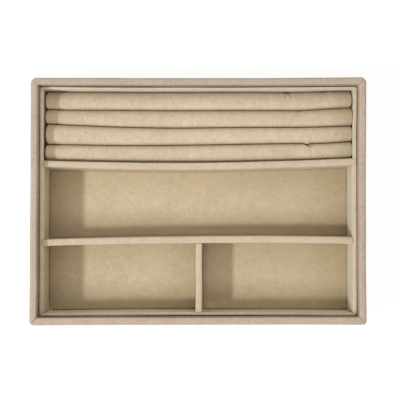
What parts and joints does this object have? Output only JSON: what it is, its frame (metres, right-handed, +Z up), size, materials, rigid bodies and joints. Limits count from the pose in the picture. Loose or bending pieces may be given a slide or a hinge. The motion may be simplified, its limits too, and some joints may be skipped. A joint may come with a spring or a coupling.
{
  "type": "jewelry tray",
  "caption": "Shallow stacking jewelry tray with a leatherette case, a velvet liner, padded ring rolls at the rear, and open bays between velvet dividers.",
  "frame": {"origin": "middle of the underside, on the surface that the tray rests on", "axes": "+X along the tray's length to the right, +Y from the front to the ring bay at the rear, +Z up out of the open top"},
  "size_m": [0.248, 0.1826, 0.047],
  "materials": {
    "board": "matte",
    "card": "matte",
    "leatherette": "matte",
    "velvet": "matte",
    "foam": "matte"
  },
  "bodies": {
    "root": {"case_front_board": "board", "case_rear_board": "board", "case_left_board": "board", "case_right_board": "board", "leatherette_front": "leatherette", "leatherette_rear": "leatherette", "leatherette_left": "leatherette", "leatherette_right": "leatherette", "base_board": "board", "plinth_board": "board", "plinth_velvet": "velvet", "liner_front_board": "card", "liner_rear_board": "card", "liner_left_board": "card", "liner_right_board": "card", "liner_front_velvet": "velvet", "liner_rear_velvet": "velvet", "liner_left_velvet": "velvet", "liner_right_velvet": "velvet", "rear_divider_board": "board", "rear_divider_velvet": "velvet", "front_divider_board": "board", "front_divider_velvet": "velvet", "short_divider_board": "board", "short_divider_velvet": "velvet", "floor_card_rings": "card", "floor_card_middle": "card", "floor_velvet_middle": "velvet", "floor_card_front_left": "card", "floor_velvet_front_left": "velvet", "floor_card_front_right": "card", "floor_velvet_front_right": "velvet"},
    "ring_roll_1": {"ring_roll_1_cover": "velvet", "ring_roll_1_foam": "foam"},
    "ring_roll_2": {"ring_roll_2_cover": "velvet", "ring_roll_2_foam": "foam"},
    "ring_roll_3": {"ring_roll_3_cover": "velvet", "ring_roll_3_foam": "foam"},
    "ring_roll_4": {"ring_roll_4_cover": "velvet", "ring_roll_4_foam": "foam"}
  },
  "joints": [
    {"name": "roll_1_lift", "type": "slide", "parent": "root", "child": "ring_roll_1", "axis": [0, 0, 1], "range_m": [0, 0.045]},
    {"name": "roll_2_lift", "type": "slide", "parent": "root", "child": "ring_roll_2", "axis": [0, 0, 1], "range_m": [0, 0.045]},
    {"name": "roll_3_lift", "type": "slide", "parent": "root", "child": "ring_roll_3", "axis": [0, 0, 1], "range_m": [0, 0.045]},
    {"name": "roll_4_lift", "type": "slide", "parent": "root", "child": "ring_roll_4", "axis": [0, 0, 1], "range_m": [0, 0.045]}
  ]
}
